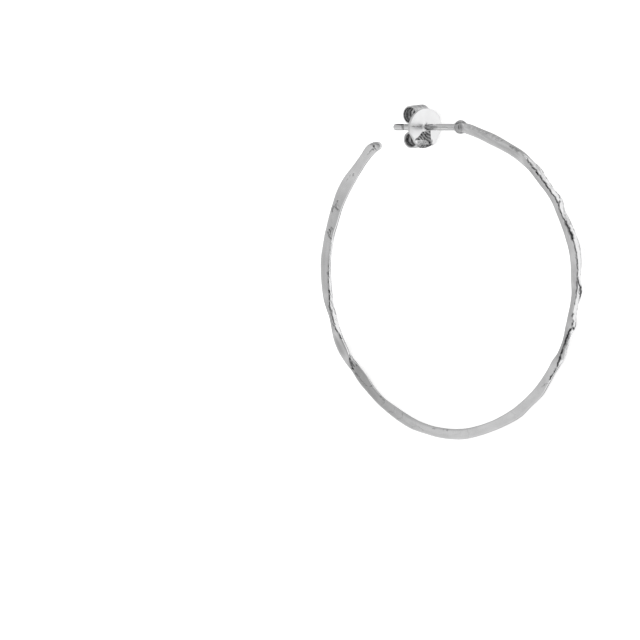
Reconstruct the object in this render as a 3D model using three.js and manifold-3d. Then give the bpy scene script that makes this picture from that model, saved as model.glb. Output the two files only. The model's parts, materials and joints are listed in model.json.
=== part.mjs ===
import * as THREE from 'three';
import { mergeVertices } from 'three/addons/utils/BufferGeometryUtils.js';
import Module from 'manifold-3d';

const wasm = await Module();
wasm.setup();

// A forged silver hoop earring that lies on its side, in millimetres and degrees.
// While it is built, the hoop's centre is the origin, X runs along the ear post and Z is the
// hoop's axis. At the end the whole earring is leaned over to the way it rests on a table.

// The forged bar
const hoopRadius = 21.7;
const barWidth = 1.25;
const barThickness = 0.9;
const barEdgeRadius = 0.14;
const barEdgeShare = 0.33;
const freeEndAngle = 121.4;
const barSweep = 321.4;

// The joint ball, set a little inside the middle circle of the bar
const ballRadius = 0.96;
const ballInset = 0.38;

// The ear post
const postRadius = 0.46;
const postLength = 10.5;
const postTipRound = 0.2;
const grooveFromTip = 1.7;
const grooveWidth = 0.5;
const grooveDepth = 0.06;

// The butterfly clutch: its oval plate
const earSpace = 5.1;
const plateAlongHoopAxis = 7.6;
const plateAcross = 5.66;
const plateSheet = 0.3;
const plateDrop = 0.2;
const collarRadius = 0.85;
const collarHeight = 0.22;
const collarRim = 0.11;
const holeClearance = 0.07;

// The butterfly clutch: its rolled wings
const wingWidth = 3.1;
const upperWingReach = 3.08;
const lowerWingReach = 2.88;
const wingSheet = 0.28;
const wingTighten = 0.2;
const wingSquash = 0.88;
const wingStart = 170;
const wingTurn = 395;
const wingClearance = 0.08;

// Facets to a round form
const ballSides = 24;
const postSides = 24;
const plateSides = 48;
const wingSteps = 40;
const edgeSteps = 2;

// One row for each place where the hammered bar changes, from its free end to the ball.
// at: share of the bar's sweep. drift: how far the bar strays outwards, as a share of its width.
// width and thick: shares of the bar's width and thickness. twist: degrees, outer edge up.
const barSections = [
  { at: 0.000, drift: 0.40, width: 0.44, thick: 0.50, twist: 14 },
  { at: 0.003, drift: 0.43, width: 0.74, thick: 0.78, twist: 14 },
  { at: 0.010, drift: 0.49, width: 0.94, thick: 0.92, twist: 14 },
  { at: 0.029, drift: 0.32, width: 0.90, thick: 0.95, twist: 16 },
  { at: 0.046, drift: 0.16, width: 1.06, thick: 0.95, twist: 20 },
  { at: 0.061, drift: 0.18, width: 1.22, thick: 0.92, twist: 22 },
  { at: 0.080, drift: 0.16, width: 1.24, thick: 0.90, twist: 22 },
  { at: 0.098, drift: 0.09, width: 1.10, thick: 0.98, twist: 22 },
  { at: 0.117, drift: 0.03, width: 1.01, thick: 0.95, twist: 20 },
  { at: 0.130, drift: 0.08, width: 0.88, thick: 1.02, twist: 15 },
  { at: 0.143, drift: 0.07, width: 0.95, thick: 0.92, twist: 12 },
  { at: 0.161, drift: 0.10, width: 1.09, thick: 0.85, twist: 12 },
  { at: 0.180, drift: 0.08, width: 1.07, thick: 0.92, twist: 10 },
  { at: 0.199, drift: 0.03, width: 0.98, thick: 1.00, twist: 5 },
  { at: 0.213, drift: -0.01, width: 0.88, thick: 0.97, twist: -18 },
  { at: 0.229, drift: -0.11, width: 0.78, thick: 1.04, twist: -30 },
  { at: 0.242, drift: -0.01, width: 0.82, thick: 1.00, twist: -15 },
  { at: 0.254, drift: 0.06, width: 0.95, thick: 0.92, twist: 8 },
  { at: 0.269, drift: 0.06, width: 1.01, thick: 0.90, twist: 14 },
  { at: 0.285, drift: -0.07, width: 0.80, thick: 0.95, twist: 2 },
  { at: 0.297, drift: -0.17, width: 0.89, thick: 0.90, twist: 26 },
  { at: 0.313, drift: -0.17, width: 1.01, thick: 0.90, twist: 28 },
  { at: 0.329, drift: -0.09, width: 0.80, thick: 0.98, twist: 20 },
  { at: 0.348, drift: -0.03, width: 0.87, thick: 0.96, twist: 18 },
  { at: 0.366, drift: -0.02, width: 1.01, thick: 0.93, twist: 15 },
  { at: 0.385, drift: 0.07, width: 1.08, thick: 0.92, twist: 12 },
  { at: 0.401, drift: 0.15, width: 1.06, thick: 0.92, twist: 12 },
  { at: 0.419, drift: 0.17, width: 0.99, thick: 0.95, twist: 8 },
  { at: 0.437, drift: 0.13, width: 1.07, thick: 0.92, twist: 4 },
  { at: 0.456, drift: 0.15, width: 1.11, thick: 0.92, twist: 0 },
  { at: 0.475, drift: 0.10, width: 1.15, thick: 0.90, twist: -4 },
  { at: 0.493, drift: -0.03, width: 1.10, thick: 0.93, twist: -6 },
  { at: 0.509, drift: -0.10, width: 1.09, thick: 0.95, twist: -8 },
  { at: 0.531, drift: -0.11, width: 1.17, thick: 0.92, twist: -10 },
  { at: 0.553, drift: -0.08, width: 1.22, thick: 0.90, twist: -12 },
  { at: 0.571, drift: -0.20, width: 1.03, thick: 0.95, twist: -12 },
  { at: 0.593, drift: -0.18, width: 1.13, thick: 0.90, twist: -14 },
  { at: 0.609, drift: -0.26, width: 0.92, thick: 0.92, twist: -10 },
  { at: 0.625, drift: -0.33, width: 0.81, thick: 0.90, twist: -8 },
  { at: 0.637, drift: -0.29, width: 0.84, thick: 1.05, twist: -2 },
  { at: 0.647, drift: -0.16, width: 0.85, thick: 1.00, twist: 25 },
  { at: 0.661, drift: -0.17, width: 0.84, thick: 0.97, twist: 42 },
  { at: 0.674, drift: -0.25, width: 0.82, thick: 0.80, twist: 35 },
  { at: 0.688, drift: -0.11, width: 0.85, thick: 1.02, twist: 8 },
  { at: 0.699, drift: -0.19, width: 0.75, thick: 0.95, twist: 20 },
  { at: 0.714, drift: -0.12, width: 0.75, thick: 0.92, twist: 18 },
  { at: 0.727, drift: 0.11, width: 0.81, thick: 1.25, twist: 15 },
  { at: 0.742, drift: -0.02, width: 0.77, thick: 1.00, twist: -8 },
  { at: 0.761, drift: 0.18, width: 0.91, thick: 1.13, twist: -2 },
  { at: 0.777, drift: 0.30, width: 0.95, thick: 1.25, twist: 8 },
  { at: 0.792, drift: 0.20, width: 0.84, thick: 1.22, twist: 8 },
  { at: 0.808, drift: 0.10, width: 0.80, thick: 1.13, twist: 20 },
  { at: 0.824, drift: -0.01, width: 0.76, thick: 1.04, twist: 18 },
  { at: 0.833, drift: 0.11, width: 0.80, thick: 1.28, twist: 12 },
  { at: 0.849, drift: -0.06, width: 0.80, thick: 1.04, twist: 22 },
  { at: 0.867, drift: -0.07, width: 0.89, thick: 1.15, twist: 27 },
  { at: 0.877, drift: -0.01, width: 0.89, thick: 1.33, twist: 27 },
  { at: 0.891, drift: -0.09, width: 0.81, thick: 1.07, twist: 12 },
  { at: 0.910, drift: -0.16, width: 0.90, thick: 1.00, twist: -5 },
  { at: 0.929, drift: -0.31, width: 0.82, thick: 1.00, twist: -8 },
  { at: 0.951, drift: -0.43, width: 1.03, thick: 0.98, twist: -10 },
  { at: 0.973, drift: -0.41, width: 0.92, thick: 1.00, twist: -8 },
  { at: 0.989, drift: -0.30, width: 0.90, thick: 0.96, twist: -4 },
  { at: 1.000, drift: -0.30, width: 0.75, thick: 0.90, twist: 0 },
];

// Places that follow from the sizes
const ballAngle = THREE.MathUtils.degToRad(freeEndAngle + barSweep);
const ballCentre = new THREE.Vector3(
  (hoopRadius - ballInset) * Math.cos(ballAngle),
  (hoopRadius - ballInset) * Math.sin(ballAngle),
  0,
);
const postTipX = ballCentre.x - ballRadius - postLength;
const earFaceX = ballCentre.x - ballRadius - earSpace;
const plateBackX = earFaceX - plateSheet;
const holeRadius = postRadius + holeClearance;

// Solids for joining and cutting

function toSolid(geometry) {
  const bare = geometry.clone();
  bare.deleteAttribute('normal');
  bare.deleteAttribute('uv');
  const merged = mergeVertices(bare, 1e-5);
  return new wasm.Manifold(new wasm.Mesh({
    numProp: 3,
    vertProperties: new Float32Array(merged.getAttribute('position').array),
    triVerts: new Uint32Array(merged.getIndex().array),
  }));
}

function toGeometry(solid) {
  const mesh = solid.getMesh();
  const geometry = new THREE.BufferGeometry();
  geometry.setAttribute('position', new THREE.BufferAttribute(mesh.vertProperties, 3));
  geometry.setIndex(new THREE.BufferAttribute(mesh.triVerts, 1));
  geometry.computeVertexNormals();
  return geometry;
}

// A lathe's profile goes from the axis back to the axis, with rows of [distance along, radius].
// The turned piece lies along X.
function turnedAlongX(profile, sides) {
  const points = profile.map(([along, radius]) => new THREE.Vector2(radius, along));
  return new THREE.LatheGeometry(points, sides).rotateZ(-Math.PI / 2);
}

// The forged bar

// Outline of one section as [outwards, upwards], a rectangle with rounded edges. On a thin
// section the rounding takes no more than its share of each side.
function sectionOutline(width, thickness) {
  const round = Math.min(barEdgeRadius, width * barEdgeShare, thickness * barEdgeShare);
  const outline = [];
  const corners = [[1, 1], [-1, 1], [-1, -1], [1, -1]];
  corners.forEach(([right, up], corner) => {
    for (let step = 0; step <= edgeSteps; step += 1) {
      const angle = (Math.PI / 2) * (corner + step / edgeSteps);
      outline.push([
        right * (width / 2 - round) + round * Math.cos(angle),
        up * (thickness / 2 - round) + round * Math.sin(angle),
      ]);
    }
  });
  return outline;
}

// One section of the bar in its place on the hoop, twisted about the middle of the bar.
function barRing({ at, drift, width, thick, twist }) {
  const around = THREE.MathUtils.degToRad(freeEndAngle + at * barSweep);
  const turn = THREE.MathUtils.degToRad(twist);
  const outline = sectionOutline(width * barWidth, thick * barThickness);
  return outline.map(([outwards, upwards]) => {
    const out = outwards * Math.cos(turn) - upwards * Math.sin(turn);
    const up = outwards * Math.sin(turn) + upwards * Math.cos(turn);
    const radius = hoopRadius + drift * barWidth + out;
    return new THREE.Vector3(radius * Math.cos(around), radius * Math.sin(around), up);
  });
}

// A closed body through a row of rings that all have as many points, with flat ends.
function loft(rings) {
  const sides = rings[0].length;
  const middles = [rings[0], rings.at(-1)].map((ring) => (
    ring.reduce((sum, point) => sum.add(point), new THREE.Vector3()).divideScalar(sides)
  ));
  const first = rings.length * sides;
  const last = (rings.length - 1) * sides;
  const index = [];
  for (let side = 0; side < sides; side += 1) {
    const next = (side + 1) % sides;
    for (let ring = 0; ring < rings.length - 1; ring += 1) {
      const here = ring * sides;
      const there = here + sides;
      index.push(here + side, there + next, here + next);
      index.push(here + side, there + side, there + next);
    }
    index.push(first, side, next);
    index.push(first + 1, last + next, last + side);
  }
  const geometry = new THREE.BufferGeometry().setFromPoints([...rings.flat(), ...middles]);
  geometry.setIndex(index);
  return geometry;
}

function jointBall() {
  const ball = new THREE.SphereGeometry(ballRadius, ballSides, ballSides / 2);
  return ball.translate(ballCentre.x, ballCentre.y, ballCentre.z);
}

// The post runs from inside the ball to its rounded tip, with a shallow groove near the tip.
function earPost() {
  const grooveX = postTipX + grooveFromTip;
  const midRound = postTipRound * (1 - Math.SQRT1_2);
  const profile = [
    [postTipX, 0],
    [postTipX, postRadius - postTipRound],
    [postTipX + midRound, postRadius - midRound],
    [postTipX + postTipRound, postRadius],
    [grooveX - grooveWidth / 2, postRadius],
    [grooveX, postRadius - grooveDepth],
    [grooveX + grooveWidth / 2, postRadius],
    [ballCentre.x, postRadius],
    [ballCentre.x, 0],
  ];
  return turnedAlongX(profile, postSides).translate(0, ballCentre.y, 0);
}

function hoopSolid() {
  const bar = toSolid(loft(barSections.map(barRing)));
  return bar.add(toSolid(jointBall())).add(toSolid(earPost()));
}

// The butterfly clutch

// The oval plate, drawn as seen along the post and then stood across it.
function clutchPlate() {
  const oval = new THREE.Shape();
  oval.absellipse(0, -plateDrop, plateAlongHoopAxis / 2, plateAcross / 2, 0, 2 * Math.PI, false, 0);
  const plate = new THREE.ExtrudeGeometry(oval, {
    depth: plateSheet,
    bevelEnabled: false,
    curveSegments: plateSides,
  });
  return plate.rotateY(Math.PI / 2).translate(plateBackX, ballCentre.y, 0);
}

// The pressed collar round the hole, sunk into the plate and narrowing towards the ear.
function clutchCollar() {
  const profile = [
    [plateBackX, 0],
    [plateBackX, collarRadius],
    [earFaceX, collarRadius],
    [earFaceX + collarHeight, holeRadius + collarRim],
    [earFaceX + collarHeight, 0],
  ];
  return turnedAlongX(profile, postSides).translate(0, ballCentre.y, 0);
}

function postHole() {
  const profile = [
    [plateBackX - plateSheet, 0],
    [plateBackX - plateSheet, holeRadius],
    [earFaceX + 2 * collarHeight, holeRadius],
    [earFaceX + 2 * collarHeight, 0],
  ];
  return turnedAlongX(profile, postSides).translate(0, ballCentre.y, 0);
}

// The roll of a wing as seen along the hoop's axis: a spiral whose radius shrinks evenly, from
// the back of the plate out over the top, round the back, in to the post and up inside itself.
function wingShape(wingReach) {
  const reach = wingReach - wingSheet / 2;
  const nearPost = postRadius + wingClearance + wingSheet / 2;
  const tightenTo = (angle) => 1 - wingTighten * (wingStart - angle) / 180;
  const topRadius = (reach - nearPost) / (1 + tightenTo(-90) / tightenTo(90));
  const firstRadius = topRadius / tightenTo(90);
  const middleY = reach - topRadius;
  const middleX = wingSquash * firstRadius;
  const edges = { outer: [], inner: [] };
  for (let step = 0; step <= wingSteps; step += 1) {
    const angle = wingStart - (wingTurn * step) / wingSteps;
    const radius = firstRadius * tightenTo(angle);
    const along = wingSquash * Math.cos(THREE.MathUtils.degToRad(angle));
    const up = Math.sin(THREE.MathUtils.degToRad(angle));
    edges.outer.push(new THREE.Vector2(
      -middleX - (radius + wingSheet / 2) * along,
      middleY + (radius + wingSheet / 2) * up,
    ));
    edges.inner.push(new THREE.Vector2(
      -middleX - (radius - wingSheet / 2) * along,
      middleY + (radius - wingSheet / 2) * up,
    ));
  }
  return new THREE.Shape([...edges.outer, ...edges.inner.reverse()]);
}

// The upper wing, with its roll behind the plate.
function clutchWing(wingReach) {
  return toSolid(new THREE.ExtrudeGeometry(wingShape(wingReach), {
    depth: wingWidth,
    bevelEnabled: false,
  }).translate(plateBackX, 0, -wingWidth / 2));
}

// The lower wing is a wing mirrored across the post.
function clutchSolid() {
  const wings = clutchWing(upperWingReach).add(clutchWing(lowerWingReach).mirror([0, 1, 0]));
  return toSolid(clutchPlate())
    .add(toSolid(clutchCollar()))
    .add(wings.translate([0, ballCentre.y, 0]))
    .subtract(toSolid(postHole()));
}

// The finished pieces

function silver(colour, roughness) {
  return new THREE.MeshStandardMaterial({ color: colour, roughness, metalness: 1 });
}

function piece(name, solid, material) {
  const mesh = new THREE.Mesh(toGeometry(solid), material);
  mesh.name = name;
  return mesh;
}

function pointsOf(mesh) {
  const position = mesh.geometry.getAttribute('position');
  return Array.from(
    { length: position.count },
    (_, vertex) => new THREE.Vector3().fromBufferAttribute(position, vertex),
  );
}

// On a table the earring lies on the lowest edge of the clutch and, across the hoop, on the
// first part of the bar that a plane through that edge meets.
function leanOnClutch(group, hoopMesh, clutchMesh) {
  const rest = pointsOf(clutchMesh).reduce((low, point) => (point.z < low.z ? point : low));
  const towards = new THREE.Vector3(rest.x, rest.y, 0).normalize();
  const farSide = pointsOf(hoopMesh).filter((point) => point.dot(towards) < 0);
  const lean = Math.min(...farSide.map((point) => (
    Math.atan2(point.z - rest.z, rest.dot(towards) - point.dot(towards))
  )));
  group.quaternion.setFromAxisAngle(new THREE.Vector3(towards.y, -towards.x, 0), lean);
}

// The origin is the middle of the bottom of the box round the resting earring.
function centreOnTable(group) {
  group.updateMatrixWorld(true);
  const box = new THREE.Box3().setFromObject(group, true);
  const middle = box.getCenter(new THREE.Vector3());
  group.position.set(-middle.x, -middle.y, -box.min.z);
}

const hoop = piece('hoop', hoopSolid(), silver(0xd6d7d9, 0.18));
const clutch = piece('butterfly_clutch', clutchSolid(), silver(0xe2e3e5, 0.12));
const earring = new THREE.Group();
earring.add(hoop, clutch);
leanOnClutch(earring, hoop, clutch);
centreOnTable(earring);

export default earring;
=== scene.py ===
import json
import math

import bpy
import numpy as np
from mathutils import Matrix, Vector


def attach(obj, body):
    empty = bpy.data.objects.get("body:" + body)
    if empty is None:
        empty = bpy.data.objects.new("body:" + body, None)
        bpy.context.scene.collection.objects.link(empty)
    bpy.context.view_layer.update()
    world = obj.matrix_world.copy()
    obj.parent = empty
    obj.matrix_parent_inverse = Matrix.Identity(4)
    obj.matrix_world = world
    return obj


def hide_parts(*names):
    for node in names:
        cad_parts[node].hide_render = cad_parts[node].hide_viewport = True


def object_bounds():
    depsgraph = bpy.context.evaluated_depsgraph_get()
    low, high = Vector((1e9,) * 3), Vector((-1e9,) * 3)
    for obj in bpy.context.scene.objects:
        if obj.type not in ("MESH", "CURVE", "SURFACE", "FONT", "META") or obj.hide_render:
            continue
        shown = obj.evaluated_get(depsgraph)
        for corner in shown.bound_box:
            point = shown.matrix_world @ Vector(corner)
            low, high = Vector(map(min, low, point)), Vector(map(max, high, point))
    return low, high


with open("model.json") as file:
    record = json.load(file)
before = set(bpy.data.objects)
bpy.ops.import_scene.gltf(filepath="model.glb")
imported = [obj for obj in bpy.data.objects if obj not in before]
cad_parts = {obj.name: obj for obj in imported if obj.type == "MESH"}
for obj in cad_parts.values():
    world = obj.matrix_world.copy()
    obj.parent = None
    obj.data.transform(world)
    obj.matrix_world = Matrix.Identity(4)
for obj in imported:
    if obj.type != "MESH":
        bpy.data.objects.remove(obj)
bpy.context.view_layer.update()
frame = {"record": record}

# How the earring lies on a table
#
# A hoop with its clutch on lies with one side of the bar on the table and the post propped up by
# the edge of the clutch. Its own axes lean with it: X runs along the post from tip to ball, Y from
# the hoop's middle towards the post, and Z is the hoop's axis. Sizes are in millimetres.

MM = 0.001
HOOP_RADIUS = 21.7
FREE_END_ANGLE = 121.4
BAR_SWEEP = 321.4
BALL_INSET = 0.38
BALL_RADIUS = 0.96
EAR_SPACE = 5.1
EAR_FACE_MARK = 1.9
LEAN = 4.365885
LEAN_TOWARDS = 99.9834

ball_angle = math.radians(FREE_END_ANGLE + BAR_SWEEP)
ball_x = (HOOP_RADIUS - BALL_INSET) * math.cos(ball_angle)
ball_y = (HOOP_RADIUS - BALL_INSET) * math.sin(ball_angle)
ear_face_x = ball_x - BALL_RADIUS - EAR_SPACE


def leaned_axes(towards, lean):
    """Turn by the angle lean about the level line that is square to the direction towards:
    cos(lean) times the identity, plus sin(lean) times the cross product with that line, plus
    (1 - cos(lean)) times the line by itself."""
    line = np.array([math.sin(towards), -math.cos(towards), 0.0])
    cross = np.array([
        [0, -line[2], line[1]],
        [line[2], 0, -line[0]],
        [-line[1], line[0], 0],
    ])
    own = (1 - math.cos(lean)) * np.outer(line, line)
    return math.cos(lean) * np.eye(3) + math.sin(lean) * cross + own


axes = leaned_axes(math.radians(LEAN_TOWARDS), math.radians(LEAN))
ear_face = frame["record"]["mounts"][0]["pos_m"]
hoop_middle = np.array(ear_face) - MM * axes @ [ear_face_x, ball_y + EAR_FACE_MARK, 0]


def on_table(points):
    """Points in the earring's own axes, in millimetres, as places in the frame, in metres."""
    return MM * np.asarray(points) @ axes.T + hoop_middle


# The camera
#
# A long lens looks down on the hoop from beyond its right side, and is rolled so that the ear
# post is at the top of the picture and the hoop's right side is on the right.

TILT_OFF_AXIS = 36.87
POST_ROLL = 6.0
CAMERA_ROLL = 7.0
PICTURE_WIDTH = 89.64
PICTURE_PIXELS = 640
AIM_LEFT = 18.35
AIM_DOWN = 5.91
LENS = 1000.0
SENSOR = 36.0


def camera_axes():
    """Right, up and back of the camera in the earring's own axes. Back leans from the hoop's
    axis to its right by the tilt, and up is rolled a little to the left."""
    roll, tilt, turn = map(math.radians, (POST_ROLL, TILT_OFF_AXIS, CAMERA_ROLL))
    right_side = np.array([math.cos(roll), math.sin(roll), 0])
    post_side = np.array([-math.sin(roll), math.cos(roll), 0])
    hoop_axis = np.array([0, 0, 1])
    across = math.cos(tilt) * right_side - math.sin(tilt) * hoop_axis
    right = math.cos(turn) * across - math.sin(turn) * post_side
    up = math.cos(turn) * post_side + math.sin(turn) * across
    return right, up, np.cross(right, up)


right, up, back = camera_axes()
distance = PICTURE_WIDTH * LENS / SENSOR
eye = on_table(distance * back - AIM_LEFT * right - AIM_DOWN * up)
camera = bpy.data.objects.new("camera", bpy.data.cameras.new("camera"))
bpy.context.scene.collection.objects.link(camera)
placing = np.eye(4)
placing[:3, :3] = axes @ np.stack([right, up, back], axis=1)
placing[:3, 3] = eye
camera.matrix_world = placing.T.tolist()
camera.data.lens = LENS
camera.data.sensor_width = SENSOR
camera.data.clip_start = 0.01
camera.data.clip_end = 20.0
bpy.context.scene.camera = camera
bpy.context.scene.view_settings.view_transform = "Standard"

# The forged bar
#
# A round silver bar hammered on an anvil until it has four uneven sides, then bent into a hoop
# and polished. Its hammer marks are shallow hollows with crisp rims, and dark oxide is left in
# the creases that the polishing wheel didn't reach. Broad lines of painted shade darken some of
# its facets.

BAR_WIDTH = 1.25
BAR_THICKNESS = 0.9
BAR_STEPS = 1180
TIP_STEPS = 28
TIP_SHARE = 0.012
AROUND_STEPS = 72

# at: share of the bar's sweep. drift: how far the bar strays outwards, as a share of its width.
# width and thick: shares of the bar's width and thickness. twist: degrees, outer edge up.
# square: how sharp the section's edges are, from 3, soft, to 9, crisp.
SECTIONS = np.array([
    # at, drift, width, thick, twist, square
    (0.000, 0.19, 0.50, 0.50, 14, 4.0),
    (0.003, 0.25, 0.90, 0.78, 14, 4.0),
    (0.010, 0.41, 1.15, 0.92, 14, 4.5),
    (0.029, 0.26, 1.04, 0.95, 16, 7.0),
    (0.046, 0.12, 1.15, 0.95, 20, 7.0),
    (0.061, 0.13, 1.32, 0.92, 22, 7.0),
    (0.080, 0.11, 1.34, 0.90, 22, 7.0),
    (0.098, 0.04, 1.19, 0.98, 22, 7.0),
    (0.117, -0.04, 1.15, 0.95, 20, 7.0),
    (0.130, 0.00, 1.05, 1.02, 15, 7.0),
    (0.143, 0.02, 1.05, 0.92, 12, 7.0),
    (0.161, 0.10, 1.09, 0.85, 12, 7.0),
    (0.180, 0.08, 1.07, 0.92, 10, 7.0),
    (0.199, 0.05, 1.02, 1.00, 5, 6.5),
    (0.213, 0.04, 0.98, 0.97, -18, 6.5),
    (0.229, -0.11, 0.78, 1.04, -30, 6.5),
    (0.242, -0.01, 0.82, 1.00, -15, 6.5),
    (0.254, 0.09, 1.01, 0.92, 8, 6.5),
    (0.269, 0.10, 1.09, 0.90, 14, 6.5),
    (0.285, -0.01, 0.92, 0.95, 2, 8.5),
    (0.297, -0.17, 1.05, 0.90, 28, 8.5),
    (0.313, -0.17, 1.21, 0.90, 30, 8.5),
    (0.329, -0.07, 1.00, 0.98, 24, 8.5),
    (0.348, 0.03, 0.99, 0.96, 24, 8.5),
    (0.366, 0.03, 1.11, 0.93, 20, 8.5),
    (0.385, 0.10, 1.13, 0.92, 8, 8.0),
    (0.401, 0.19, 1.13, 0.92, 6, 8.0),
    (0.419, 0.19, 1.02, 0.95, 2, 8.0),
    (0.437, 0.21, 1.07, 0.92, -2, 8.0),
    (0.456, 0.22, 1.11, 0.92, -5, 8.0),
    (0.475, 0.19, 1.15, 0.90, -7, 8.0),
    (0.493, 0.07, 1.14, 0.93, -6, 8.0),
    (0.509, -0.01, 1.14, 0.95, -8, 8.0),
    (0.531, -0.06, 1.19, 0.92, -10, 8.0),
    (0.553, -0.06, 1.27, 0.90, -12, 8.0),
    (0.571, -0.18, 1.13, 0.95, -12, 7.0),
    (0.593, -0.18, 1.17, 0.90, -14, 7.0),
    (0.609, -0.30, 1.00, 0.92, -10, 7.0),
    (0.625, -0.38, 0.90, 0.90, -8, 7.5),
    (0.637, -0.35, 0.96, 1.05, -2, 7.5),
    (0.647, -0.21, 0.95, 1.00, 25, 7.5),
    (0.661, -0.24, 0.98, 0.97, 42, 7.5),
    (0.674, -0.33, 0.98, 0.80, 35, 7.5),
    (0.688, -0.21, 1.05, 1.02, 8, 7.5),
    (0.699, -0.28, 0.92, 0.95, 20, 7.5),
    (0.714, -0.18, 0.87, 0.92, 18, 7.5),
    (0.727, 0.02, 0.99, 1.25, 15, 7.5),
    (0.742, -0.12, 0.97, 1.00, -8, 7.5),
    (0.761, 0.09, 1.09, 1.13, -2, 7.5),
    (0.777, 0.18, 1.20, 1.25, 8, 7.5),
    (0.792, 0.06, 1.12, 1.22, 8, 7.5),
    (0.808, -0.05, 1.10, 1.13, 20, 7.5),
    (0.824, -0.12, 0.98, 1.04, 18, 7.5),
    (0.833, 0.03, 0.95, 1.28, 12, 7.5),
    (0.849, -0.12, 0.92, 1.04, 26, 7.5),
    (0.867, -0.19, 1.11, 1.15, 31, 7.5),
    (0.877, -0.13, 1.11, 1.33, 32, 7.5),
    (0.891, -0.19, 1.01, 1.07, 28, 7.5),
    (0.910, -0.26, 1.09, 1.00, -5, 7.0),
    (0.929, -0.44, 1.08, 1.00, -8, 7.0),
    (0.951, -0.52, 1.20, 0.98, -10, 7.0),
    (0.973, -0.47, 1.08, 1.00, -8, 7.0),
    (0.989, -0.35, 1.10, 0.96, -4, 7.0),
    (1.000, -0.30, 1.02, 0.94, 0, 7.0),
])

# Hammer marks that show, as shallow hollows. at: share of the sweep. around: degrees round the
# section from its outer side, over the upper side at 90. long and wide: half lengths in
# millimetres. depth: millimetres. slant: how far the mark runs round the bar as it goes along.
MARKS = [
    # at, around, long, wide, depth, slant
    (0.052, 95, 3.2, 0.60, 0.035, 0.1),
    (0.085, 80, 2.2, 0.55, 0.030, -0.2),
    (0.165, 92, 3.8, 0.55, 0.020, 0.0),
    (0.200, 175, 2.6, 0.40, 0.040, 0.1),
    (0.225, 120, 1.6, 0.45, 0.050, -0.3),
    (0.262, 88, 2.2, 0.50, 0.025, 0.1),
    (0.310, 92, 2.1, 0.50, 0.035, 0.1),
    (0.338, 85, 1.5, 0.45, 0.030, 0.0),
    (0.363, 95, 1.6, 0.50, 0.030, -0.1),
    (0.392, 90, 1.8, 0.60, 0.022, 0.2),
    (0.425, 96, 1.9, 0.60, 0.018, -0.2),
    (0.455, 88, 1.6, 0.60, 0.018, 0.1),
    (0.495, 92, 2.4, 0.60, 0.018, 0.1),
    (0.540, 88, 2.6, 0.60, 0.016, -0.1),
    (0.580, 92, 2.0, 0.60, 0.018, 0.1),
    (0.615, 88, 1.4, 0.50, 0.022, 0.2),
    (0.650, 25, 2.2, 0.40, 0.060, 0.2),
    (0.674, 20, 1.6, 0.40, 0.050, -0.2),
    (0.712, 10, 2.0, 0.40, 0.060, 0.0),
    (0.745, 5, 1.4, 0.40, 0.050, 0.3),
    (0.772, 5, 2.0, 0.42, 0.035, 0.0),
    (0.802, 18, 1.5, 0.35, 0.055, 0.2),
    (0.818, 8, 1.2, 0.35, 0.050, -0.2),
    (0.846, 10, 1.8, 0.40, 0.050, 0.1),
    (0.872, 12, 1.6, 0.42, 0.040, -0.1),
    (0.925, 70, 2.8, 0.35, 0.045, 0.1),
    (0.958, 66, 2.4, 0.35, 0.040, -0.1),
]
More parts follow.
